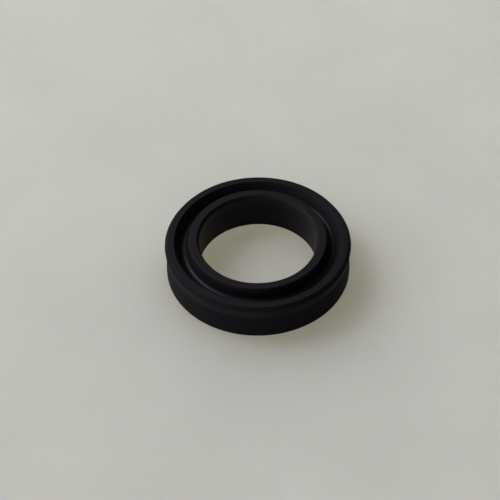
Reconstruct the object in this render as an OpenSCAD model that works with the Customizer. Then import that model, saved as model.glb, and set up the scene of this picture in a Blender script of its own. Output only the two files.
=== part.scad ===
// U-section lip seal: one moulded rubber ring with an open groove between two lips.
// Millimetres, +Z up. Origin: centre of the flat back face, so the ring stands on z = 0 with its groove up.

/* [Ring] */
// outside diameter of the heel's upright band, which seats in the housing
heel_d = 22; // [20.8:0.1:26]
// bore of the heel, which clears the rod
bore_d = 14.14; // [11:0.02:14.6]
// full height, from the back face to the land of the inner lip
height = 4.94; // [4.6:0.02:7]
// height of the upright band above the back face
band_h = 0.6; // [0.5:0.05:1.5]
// how far the heel draws in between the band and the shoulder, in radius
heel_draft = 0.15; // [0.02:0.01:0.25]
// round on the outer edge of the back face
back_round = 0.14; // [0.05:0.01:0.3]
// round on the bore edge of the back face
bore_round = 0.12; // [0.05:0.01:0.3]

/* [Outer lip] */
// how far the land of the outer lip lies below that of the inner lip
outer_drop = 0.27; // [0.1:0.01:0.4]
// how far the outer lip stands out past the heel, in radius
outer_flare = 0.04; // [0:0.01:0.25]
// width of the outer lip's flat land
outer_land = 0.79; // [0.6:0.01:1]
// width of the bevel on the outer lip
outer_bevel_w = 0.33; // [0.2:0.01:0.45]
// height of the bevel on the outer lip
outer_bevel_h = 0.52; // [0.3:0.01:0.6]

/* [Waist] */
// depth of the waist under the outer lip, in from the upright band
waist_in = 0.43; // [0.3:0.01:0.6]
// height of the waist's deepest line below the lip's widest line
waist_drop = 0.47; // [0.4:0.01:0.7]
// height of the sloping shoulder between the waist and the heel
shoulder_h = 0.74; // [0.5:0.02:0.9]
// radius in the bottom of the waist
waist_round = 0.2; // [0.1:0.02:0.3]
// radius where the shoulder meets the heel
shoulder_round = 0.1; // [0.05:0.01:0.3]

/* [Inner lip] */
// how far the inner lip stands in past the bore, in radius
inner_flare = 0.1; // [0.02:0.01:0.25]
// width of the inner lip's flat land
inner_land = 0.91; // [0.6:0.01:1]
// width of the bevel on the inner lip
inner_bevel_w = 0.27; // [0.15:0.01:0.4]
// height of the bevel on the inner lip
inner_bevel_h = 0.35; // [0.25:0.01:0.45]
// height over which the inner lip leans in
inner_lean_h = 1.28; // [0.8:0.02:1.6]
// radius where the lip's lean meets the bore
lean_round = 0.3; // [0.1:0.05:1]

/* [Groove] */
// depth of the groove below the inner lip's land
groove_depth = 1.53; // [1.3:0.01:2]
// radius of the groove's round root, as a share of its mouth's width
root_share = 0.25; // [0.18:0.01:0.36]
// place of the root's centre, as a share of the mouth's width out from the inner lip
root_at = 0.41; // [0.36:0.01:0.55]

/* [Edges] */
// small round on the crisp edges of both lips
lip_round = 0.06; // [0.03:0.01:0.1]
// softer round on the outer lip's bevel edge and the inner lip's groove edge
soft_round = 0.16; // [0.06:0.01:0.2]
// large round that blends the upright band into the heel's draft
blend_round = 1; // [0.5:0.1:3]

/* [Hidden] */
$fn = 360;
rubber = [0.07, 0.07, 0.075];
// largest turn between two points of a round, in degrees
arc_step = 7.5;
heel_r = heel_d / 2;
bore_r = bore_d / 2;
// outer lip, from the widest line up to the land
outer_top = height - outer_drop;
outer_wide_r = heel_r + outer_flare;
outer_wide_z = outer_top - outer_bevel_h;
outer_land_r = outer_wide_r - outer_bevel_w;
groove_out_r = outer_land_r - outer_land;
// waist and shoulder
waist_z = outer_wide_z - waist_drop;
waist_r = heel_r - waist_in;
shoulder_z = waist_z - shoulder_h;
shoulder_r = heel_r - heel_draft;
// inner lip, from the narrowest line up to the land
inner_tip_r = bore_r - inner_flare;
inner_tip_z = height - inner_bevel_h;
inner_land_r = inner_tip_r + inner_bevel_w;
groove_in_r = inner_land_r + inner_land;
lean_z = inner_tip_z - inner_lean_h;
// groove: round root, and the slope from upright of the wall that runs off it to each lip
mouth_w = groove_out_r - groove_in_r;
root_round = min(root_share * mouth_w, 0.8 * (groove_depth - outer_drop));
root_r = groove_in_r + root_at * mouth_w;
root_z = height - groove_depth + root_round;
function wall_slope(run, drop) = atan2(run, drop) - asin(root_round / norm([run, drop]));
inner_slope = wall_slope(root_r - groove_in_r, height - root_z);
outer_slope = wall_slope(groove_out_r - root_r, outer_top - root_z);
// where the two walls would meet under the root
root_half = (inner_slope + outer_slope) / 2;
root_lean = (outer_slope - inner_slope) / 2;
root_down = root_round / sin(root_half);
meet_r = root_r - root_down * sin(root_lean);
meet_z = root_z - root_down * cos(root_lean);

// The section's corners, anticlockwise from the bore: radius, height, round.
corners = [
    [bore_r, 0, bore_round],
    [heel_r, 0, back_round],
    [heel_r, band_h, blend_round],
    [shoulder_r, shoulder_z, shoulder_round],
    [waist_r, waist_z, waist_round],
    [outer_wide_r, outer_wide_z, lip_round],
    [outer_land_r, outer_top, soft_round],
    [groove_out_r, outer_top, lip_round],
    [meet_r, meet_z, root_round],
    [groove_in_r, height, soft_round],
    [inner_land_r, height, lip_round],
    [inner_tip_r, inner_tip_z, lip_round],
    [bore_r, lean_z, lean_round]
];

function at(i) = corners[(i + len(corners)) % len(corners)];
function spot(i) = [at(i)[0], at(i)[1]];
function unit(v) = v / norm(v);
function back(i) = unit(spot(i - 1) - spot(i));
function on(i) = unit(spot(i + 1) - spot(i));
// angle between the two edges at a corner, and where the round leaves the first of them
function angle_at(i) = acos(back(i) * on(i));
function first(i) = spot(i) + back(i) * at(i)[2] / tan(angle_at(i) / 2);
function centre(i) = spot(i) + unit(back(i) + on(i)) * at(i)[2] / sin(angle_at(i) / 2);
// a corner stands out of the ring where the outline turns left
function turn(i) = on(i)[0] * back(i)[1] - on(i)[1] * back(i)[0];
function side(i) = turn(i) > 0 ? 1 : -1;
// the round at a corner, swept about its centre from one edge to the other in small even steps
function sweep(i) = side(i) * (180 - angle_at(i));
function steps(i) = max(2, ceil(abs(sweep(i)) / arc_step));
function start(i) = atan2((first(i) - centre(i))[1], (first(i) - centre(i))[0]);
function arc_spot(i, a) = centre(i) + at(i)[2] * [cos(a), sin(a)];
function arc(i) = [for (k = [0 : steps(i)]) arc_spot(i, start(i) + sweep(i) * k / steps(i))];

module section() {
    polygon([for (i = [0 : len(corners) - 1]) each arc(i)]);
}

// moulded ring: heel, waist, outer lip, groove and inner lip in one piece
module seal_ring() {
    color(rubber) rotate_extrude() section();
}

seal_ring();
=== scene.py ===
import math

import bpy
from mathutils import Matrix, Vector


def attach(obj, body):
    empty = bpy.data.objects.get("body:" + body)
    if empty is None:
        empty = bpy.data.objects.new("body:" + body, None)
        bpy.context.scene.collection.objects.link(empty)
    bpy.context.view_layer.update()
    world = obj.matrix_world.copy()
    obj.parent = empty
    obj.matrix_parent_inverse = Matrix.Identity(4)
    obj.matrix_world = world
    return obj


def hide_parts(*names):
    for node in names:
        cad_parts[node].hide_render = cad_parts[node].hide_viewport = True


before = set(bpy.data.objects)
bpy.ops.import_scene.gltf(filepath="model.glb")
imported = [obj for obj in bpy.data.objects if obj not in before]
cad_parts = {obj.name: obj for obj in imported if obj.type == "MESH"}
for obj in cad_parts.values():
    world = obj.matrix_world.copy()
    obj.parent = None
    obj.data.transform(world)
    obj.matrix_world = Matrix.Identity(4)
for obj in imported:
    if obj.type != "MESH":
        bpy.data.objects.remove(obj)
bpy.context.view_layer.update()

MM = 0.001

# The section, with the same named sizes as the CAD source, in millimetres
HEEL_R = 11.0
BORE_R = 7.07
HEIGHT = 4.94
BAND_H = 0.6
HEEL_DRAFT = 0.15
BACK_ROUND = 0.14
BORE_ROUND = 0.12
OUTER_DROP = 0.27
OUTER_FLARE = 0.04
OUTER_LAND = 0.79
OUTER_BEVEL_W = 0.33
OUTER_BEVEL_H = 0.52
WAIST_IN = 0.43
WAIST_DROP = 0.47
SHOULDER_H = 0.74
WAIST_ROUND = 0.2
SHOULDER_ROUND = 0.1
INNER_FLARE = 0.1
INNER_LAND = 0.91
INNER_BEVEL_W = 0.27
INNER_BEVEL_H = 0.35
INNER_LEAN_H = 1.28
LEAN_ROUND = 0.3
GROOVE_DEPTH = 1.53
ROOT_SHARE = 0.25
ROOT_AT = 0.41
LIP_ROUND = 0.06
SOFT_ROUND = 0.16
BLEND_ROUND = 1.0

# Heights of the section's main lines
OUTER_TOP = HEIGHT - OUTER_DROP
OUTER_WIDE_Z = OUTER_TOP - OUTER_BEVEL_H
WAIST_Z = OUTER_WIDE_Z - WAIST_DROP
SHOULDER_Z = WAIST_Z - SHOULDER_H
INNER_TIP_Z = HEIGHT - INNER_BEVEL_H

# Limits of the zones of the finish and of the painted shade, a little clear of the section's lines
LOWEST_LAND = OUTER_TOP - 0.01
SHOULDER_HIGH = OUTER_WIDE_Z - 0.02
SHOULDER_LOW = SHOULDER_Z + 0.02
BORE_SIDE_R = BORE_R + 0.05
OUTER_SIDE_R = BORE_R + 2.0

# How far the sheen fades in each zone, which also sets how much shade is painted into the colour there
BORE_MATT_AND_SHADE = 0.25
OUTER_LAND_MATT_AND_SHADE = 0.4
OUTER_EDGE_MATT_AND_SHADE = 0.4
GROOVE_WALL_MATT_AND_SHADE = 0.3
INNER_EDGE_MATT_AND_SHADE = 2.0
INNER_BEVEL_MATT_AND_SHADE = 0.7

# Fineness of the mesh: faces round the ring, degrees to a step of a round, longest step of a straight run
SEGMENTS = 300
ARC_STEP = 7.5
STRAIGHT_STEP = 0.35


def wall_slope(root, run, drop):
    """Slope from upright of a groove wall that runs off the round root to a lip's edge."""
    return math.atan2(run, drop) - math.asin(root / math.hypot(run, drop))


def section_corners():
    """Corners of the section, anticlockwise from the bore: radius, height, round."""
    wide_r = HEEL_R + OUTER_FLARE
    outer_land_r = wide_r - OUTER_BEVEL_W
    groove_out_r = outer_land_r - OUTER_LAND
    tip_r = BORE_R - INNER_FLARE
    inner_land_r = tip_r + INNER_BEVEL_W
    groove_in_r = inner_land_r + INNER_LAND
    # the groove's walls would meet under the centre of its round root
    root = ROOT_SHARE * (groove_out_r - groove_in_r)
    root_r = groove_in_r + ROOT_AT * (groove_out_r - groove_in_r)
    root_z = HEIGHT - GROOVE_DEPTH + root
    inner_slope = wall_slope(root, root_r - groove_in_r, HEIGHT - root_z)
    outer_slope = wall_slope(root, groove_out_r - root_r, OUTER_TOP - root_z)
    lean = (outer_slope - inner_slope) / 2
    down = root / math.sin((inner_slope + outer_slope) / 2)
    return [
        (BORE_R, 0.0, BORE_ROUND),
        (HEEL_R, 0.0, BACK_ROUND),
        (HEEL_R, BAND_H, BLEND_ROUND),
        (HEEL_R - HEEL_DRAFT, SHOULDER_Z, SHOULDER_ROUND),
        (HEEL_R - WAIST_IN, WAIST_Z, WAIST_ROUND),
        (wide_r, OUTER_WIDE_Z, LIP_ROUND),
        (outer_land_r, OUTER_TOP, SOFT_ROUND),
        (groove_out_r, OUTER_TOP, LIP_ROUND),
        (root_r - down * math.sin(lean), root_z - down * math.cos(lean), root),
        (groove_in_r, HEIGHT, SOFT_ROUND),
        (inner_land_r, HEIGHT, LIP_ROUND),
        (tip_r, INNER_TIP_Z, LIP_ROUND),
        (BORE_R, INNER_TIP_Z - INNER_LEAN_H, LEAN_ROUND),
    ]


def section_points(corners):
    """The rounded section as (point, outward normal, share of edge wear) in order."""
    out = []
    n = len(corners)
    for i in range(n):
        spot = Vector(corners[i][:2])
        back = (Vector(corners[i - 1][:2]) - spot).normalized()
        on = (Vector(corners[(i + 1) % n][:2]) - spot).normalized()
        radius = corners[i][2]
        half = math.acos(max(-1.0, min(1.0, back.dot(on)))) / 2
        centre = spot + (back + on).normalized() * radius / math.sin(half)
        first = spot + back * radius / math.tan(half)
        side = 1.0 if on.x * back.y - on.y * back.x > 0 else -1.0
        sweep = side * (math.pi - 2 * half)
        steps = max(2, math.ceil(abs(math.degrees(sweep)) / ARC_STEP))
        start = math.atan2(first.y - centre.y, first.x - centre.x)
        # the lips' crisp edges wear
        wear = 1.0 if side > 0 and radius <= LIP_ROUND + 1e-6 else 0.0
        for k in range(steps + 1):
            a = start + sweep * k / steps
            ray = Vector((math.cos(a), math.sin(a)))
            out.append((centre + ray * radius, ray * side, wear))
    return out


def refine(points, longest):
    """Adds points on the long straight runs, so that no face is a long sliver."""
    out = []
    n = len(points)
    for i in range(n):
        (p, a, wear), (q, b, _) = points[i], points[(i + 1) % n]
        out.append((p, a, wear))
        parts = math.ceil((q - p).length / longest)
        for k in range(1, parts):
            t = k / parts
            out.append((p.lerp(q, t), a.lerp(b, t).normalized(), 0.0))
    return out


def is_dull(p):
    """The heel's wall and the outer bevel are dull; the rest of the skin has a faint sheen."""
    if p.x < HEEL_R - WAIST_IN or p.y > LOWEST_LAND:
        return False
    return p.y > SHOULDER_HIGH or p.y < SHOULDER_LOW


def matt_and_shade_share(p, n):
    """How far the sheen fades at a point of the section, and how much shade is painted there: most at the
    lips' edges and on the inner bevel.
    """
    facing_in = max(0.0, -n.x)
    if p.x < BORE_SIDE_R and p.y < INNER_TIP_Z:
        return BORE_MATT_AND_SHADE
    if p.x > OUTER_SIDE_R:
        if p.y > LOWEST_LAND - LIP_ROUND:
            return OUTER_LAND_MATT_AND_SHADE + OUTER_EDGE_MATT_AND_SHADE * facing_in
        return GROOVE_WALL_MATT_AND_SHADE * facing_in
    if p.y > INNER_TIP_Z:
        return min(1.0, INNER_EDGE_MATT_AND_SHADE * n.x) if n.x > 0 else INNER_BEVEL_MATT_AND_SHADE * facing_in
    return 0.0


def lathe(name, points):
    """A closed ring turned about Z from the section's points, with the section's own normals."""
    verts, normals, wears, matt_and_shade_shares, faces, slots = [], [], [], [], [], []
    rows = len(points)
    for s in range(SEGMENTS):
        t = 2 * math.pi * s / SEGMENTS
        c, d = math.cos(t), math.sin(t)
        for p, n, wear in points:
            verts.append((p.x * c * MM, p.x * d * MM, p.y * MM))
            normals.append((n.x * c, n.x * d, n.y))
            wears.append(wear)
            # the same share sets how much shade is painted into the rubber's colour
            matt_and_shade_shares.append(matt_and_shade_share(p, n))
    for s in range(SEGMENTS):
        u, v = s * rows, ((s + 1) % SEGMENTS) * rows
        for r in range(rows):
            q = (r + 1) % rows
            faces.append((u + r, v + r, v + q, u + q))
            slots.append(int(is_dull((points[r][0] + points[q][0]) / 2)))
    mesh = bpy.data.meshes.new(name)
    mesh.from_pydata(verts, [], faces)
    for layer_name, values in (("edge_wear", wears), ("matt_and_painted_shade", matt_and_shade_shares)):
        layer = mesh.attributes.new(layer_name, "FLOAT", "POINT")
        layer.data.foreach_set("value", values)
    mesh.update()
    mesh.polygons.foreach_set("use_smooth", [True] * len(mesh.polygons))
    mesh.polygons.foreach_set("material_index", slots)
    mesh.normals_split_custom_set_from_vertices(normals)
    return add_object(name, mesh)


def add_object(name, data):
    obj = bpy.data.objects.new(name, data)
    bpy.context.scene.collection.objects.link(obj)
    return obj


class Nodes:
    """Short calls for building a material's node tree."""

    def __init__(self, name):
        self.material = bpy.data.materials.new(name)
        self.material.use_nodes = True
        self.tree = self.material.node_tree
        self.shader = self.tree.nodes["Principled BSDF"]

    def add(self, kind, inputs=None, **settings):
        node = self.tree.nodes.new(kind)
        for key, value in settings.items():
            setattr(node, key, value)
        for key, value in (inputs or {}).items():
            self.put(node.inputs[key], value)
        return node

    def put(self, socket, value):
        if isinstance(value, bpy.types.NodeSocket):
            self.tree.links.new(value, socket)
        else:
            socket.default_value = value

    def shade(self, inputs):
        """Sets or links the shader's own sockets."""
        for key, value in inputs.items():
            self.put(self.shader.inputs[key], value)

    def coords(self):
        return self.add("ShaderNodeTexCoord").outputs["Object"]

    def attribute(self, name):
        return self.add("ShaderNodeAttribute", attribute_name=name).outputs["Fac"]

    def noise(self, coords, scale, detail, rough):
        node = self.add("ShaderNodeTexNoise", {"Vector": coords, "Scale": scale,
                                               "Detail": detail, "Roughness": rough})
        return node.outputs["Fac"]

    def span(self, value, low, high, out_low, out_high):
        node = self.add("ShaderNodeMapRange", {"Value": value, "From Min": low, "From Max": high,
                                               "To Min": out_low, "To Max": out_high})
        return node.outputs["Result"]

    def math(self, operation, a, b):
        node = self.add("ShaderNodeMath", operation=operation)
        self.put(node.inputs[0], a)
        self.put(node.inputs[1], b)
        return node.outputs["Value"]

    def mix(self, factor, a, b):
        node = self.add("ShaderNodeMix", data_type="RGBA")
        self.put(node.inputs["Factor"], factor)
        self.put(node.inputs[6], a)
        self.put(node.inputs[7], b)
        return node.outputs[2]


# Rubber: colours, and the scales of its textures per metre
RUBBER_DARK = (0.0067, 0.0057, 0.0075, 1)
RUBBER_BLOOM = (0.0083, 0.0073, 0.0091, 1)
RUBBER_WORN = (0.0093, 0.0083, 0.0101, 1)
# the near-black below is painted shade, laid into the colour where the sheen fades
RUBBER_PAINTED_SHADE = (0.0008, 0.0007, 0.0009, 1)
RUBBER_TINT = (1.0, 0.94, 1.0, 1)
DUST = (0.13, 0.13, 0.12, 1)
BLOOM_SCALE = 420.0
GRAIN_SCALE = 14000.0
PIT_SCALE = 3200.0
DUST_SCALE = 2600.0


def rubber_material(name, specular, roughness):
    """Matt black moulded rubber: fine grain, uneven bloom, worn lip edges, a little dust, and painted shade
    where the sheen fades.
    """
    m = Nodes(name)
    coords = m.coords()
    bloom = m.noise(coords, BLOOM_SCALE, 3.0, 0.55)
    grain = m.noise(coords, GRAIN_SCALE, 3.0, 0.6)
    pits = m.noise(coords, PIT_SCALE, 2.0, 0.5)
    matt_and_painted_shade = m.attribute("matt_and_painted_shade")
    base = m.mix(m.span(bloom, 0.3, 0.7, 0.0, 1.0), RUBBER_DARK, RUBBER_BLOOM)
    worn = m.math("MULTIPLY", m.attribute("edge_wear"), m.span(pits, 0.4, 0.65, 0.0, 0.6))
    base = m.mix(worn, base, RUBBER_WORN)
    # dust: rare, small pale specks
    cells = m.add("ShaderNodeTexVoronoi", {"Vector": coords, "Scale": DUST_SCALE, "Randomness": 1.0})
    dot = m.span(cells.outputs["Distance"], 0.05, 0.16, 1.0, 0.0)
    pick = m.add("ShaderNodeSeparateColor", {"Color": cells.outputs["Color"]}).outputs["Red"]
    rare = m.math("GREATER_THAN", pick, 0.985)
    dust = m.math("MULTIPLY", m.math("MULTIPLY", dot, rare), 0.35)
    base = m.mix(dust, base, DUST)
    # painted shade: where the sheen fades, the colour is darkened towards near-black; the rubber is also
    # rougher there
    base = m.mix(m.math("MULTIPLY", matt_and_painted_shade, 0.45), base, RUBBER_PAINTED_SHADE)
    uneven = m.span(bloom, 0.3, 0.7, roughness, roughness + 0.07)
    fine = m.add("ShaderNodeBump", {"Height": grain, "Strength": 0.25, "Distance": 0.02 * MM})
    coarse = m.add("ShaderNodeBump", {"Height": pits, "Strength": 0.2, "Distance": 0.03 * MM,
                                      "Normal": fine.outputs["Normal"]})
    m.shade({
        "Base Color": base,
        "Roughness": m.math("ADD", uneven, m.math("MULTIPLY", matt_and_painted_shade, 0.3)),
        "Specular IOR Level": specular,
        "Specular Tint": RUBBER_TINT,
        "Normal": coarse.outputs["Normal"],
    })
    return m.material


# Floor: half its side in metres, its two tones, and the scale of its mottle per metre
FLOOR_HALF = 0.6
FLOOR_DARK = (0.505, 0.503, 0.471, 1)
FLOOR_LIGHT = (0.537, 0.535, 0.500, 1)
MOTTLE_SCALE = 60.0


def floor_material():
    """Pale, faintly mottled and translucent, so that the ring's shadow is soft and warm."""
    m = Nodes("pale_floor")
    mottle = m.noise(m.coords(), MOTTLE_SCALE, 2.0, 0.5)
    m.shade({
        "Base Color": m.mix(m.span(mottle, 0.3, 0.7, 0.0, 1.0), FLOOR_DARK, FLOOR_LIGHT),
        "Roughness": 0.8,
        "Subsurface Weight": 0.94,
        "Subsurface Radius": (1.08, 1.0, 0.76),
        "Subsurface Scale": 0.08,
        "Specular IOR Level": 0.2,
    })
    return m.material


def add_floor():
    corners = [(-FLOOR_HALF, -FLOOR_HALF, 0), (FLOOR_HALF, -FLOOR_HALF, 0),
               (FLOOR_HALF, FLOOR_HALF, 0), (-FLOOR_HALF, FLOOR_HALF, 0)]
    mesh = bpy.data.meshes.new("floor")
    mesh.from_pydata(corners, [], [(0, 1, 2, 3)])
    mesh.materials.append(floor_material())
    return add_object("floor", mesh)


# Lights: how far they stand from the ring, in metres, and the room's strength on its two sides
LIGHT_DISTANCE = 2.5
ROOM_LEFT = 0.43
ROOM_RIGHT = 0.08


def area_light(name, direction, size, power, colour=(1, 1, 1)):
    """A soft light, so wide and so tall, that looks at the ring from the given direction."""
    data = bpy.data.lights.new(name, "AREA")
    data.shape = "RECTANGLE"
    data.size, data.size_y = size
    data.energy = power
    data.color = colour
    lamp = add_object(name, data)
    away = Vector(direction).normalized()
    lamp.location = away * LIGHT_DISTANCE
    lamp.rotation_euler = away.to_track_quat("Z", "Y").to_euler()


def plain_room():
    """A plain room, brighter on the window's side."""
    world = bpy.data.worlds.new("room")
    world.use_nodes = True
    tree = world.node_tree
    backdrop = tree.nodes["Background"]
    backdrop.inputs["Color"].default_value = (0.95, 0.97, 1.0, 1)
    coords = tree.nodes.new("ShaderNodeTexCoord")
    across = tree.nodes.new("ShaderNodeSeparateXYZ")
    fade = tree.nodes.new("ShaderNodeMapRange")
    fade.inputs["From Min"].default_value = -1.0
    fade.inputs["To Min"].default_value = ROOM_LEFT
    fade.inputs["To Max"].default_value = ROOM_RIGHT
    tree.links.new(coords.outputs["Generated"], across.inputs["Vector"])
    tree.links.new(across.outputs["X"], fade.inputs["Value"])
    tree.links.new(fade.outputs["Result"], backdrop.inputs["Strength"])
    return world


# Camera at the photograph's viewing angle, from the fit of the ring's circles
FOCAL_PX = 1250.0
FRAME_PX = 500.0
CAMERA_AT = Vector((-0.0859, -9.3575, 10.0515)) * HEEL_R * MM
PITCH = math.radians(46.3048)
ROLL = math.radians(-1.1424)


def add_camera():
    ahead = Vector((0, math.cos(PITCH), -math.sin(PITCH)))
    level = Vector((1, 0, 0))
    upright = level.cross(ahead)
    right = level * math.cos(ROLL) + upright * math.sin(ROLL)
    up = upright * math.cos(ROLL) - level * math.sin(ROLL)
    data = bpy.data.cameras.new("camera")
    data.sensor_width = 36.0
    data.lens = data.sensor_width * FOCAL_PX / FRAME_PX
    data.clip_start = 0.005
    data.clip_end = 10.0
    camera = add_object("camera", data)
    turn = Matrix((right, up, -ahead)).transposed().to_4x4()
    camera.matrix_world = Matrix.Translation(CAMERA_AT) @ turn
    return camera


ring = lathe("seal_ring_moulded", refine(section_points(section_corners()), STRAIGHT_STEP))
ring.data.materials.append(rubber_material("black_rubber", specular=0.085, roughness=0.36))
ring.data.materials.append(rubber_material("black_rubber_dull", specular=0.022, roughness=0.55))
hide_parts("seal_ring")
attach(ring, "root")

floor = add_floor()

area_light("window", (-0.62, 0.25, 0.74), (0.9, 0.9), 47.0, (1.0, 0.99, 0.97))
area_light("sky", (-0.5, 0.55, 0.67), (2.6, 2.6), 15.0)
area_light("wall", (-0.95, 0.1, 0.3), (2.4, 2.4), 31.0)
area_light("front", (-0.55, -0.83, 0.1), (4.0, 0.5), 16.5)
bpy.context.scene.world = plain_room()

bpy.context.scene.camera = add_camera()
bpy.context.scene.view_settings.view_transform = "Standard"
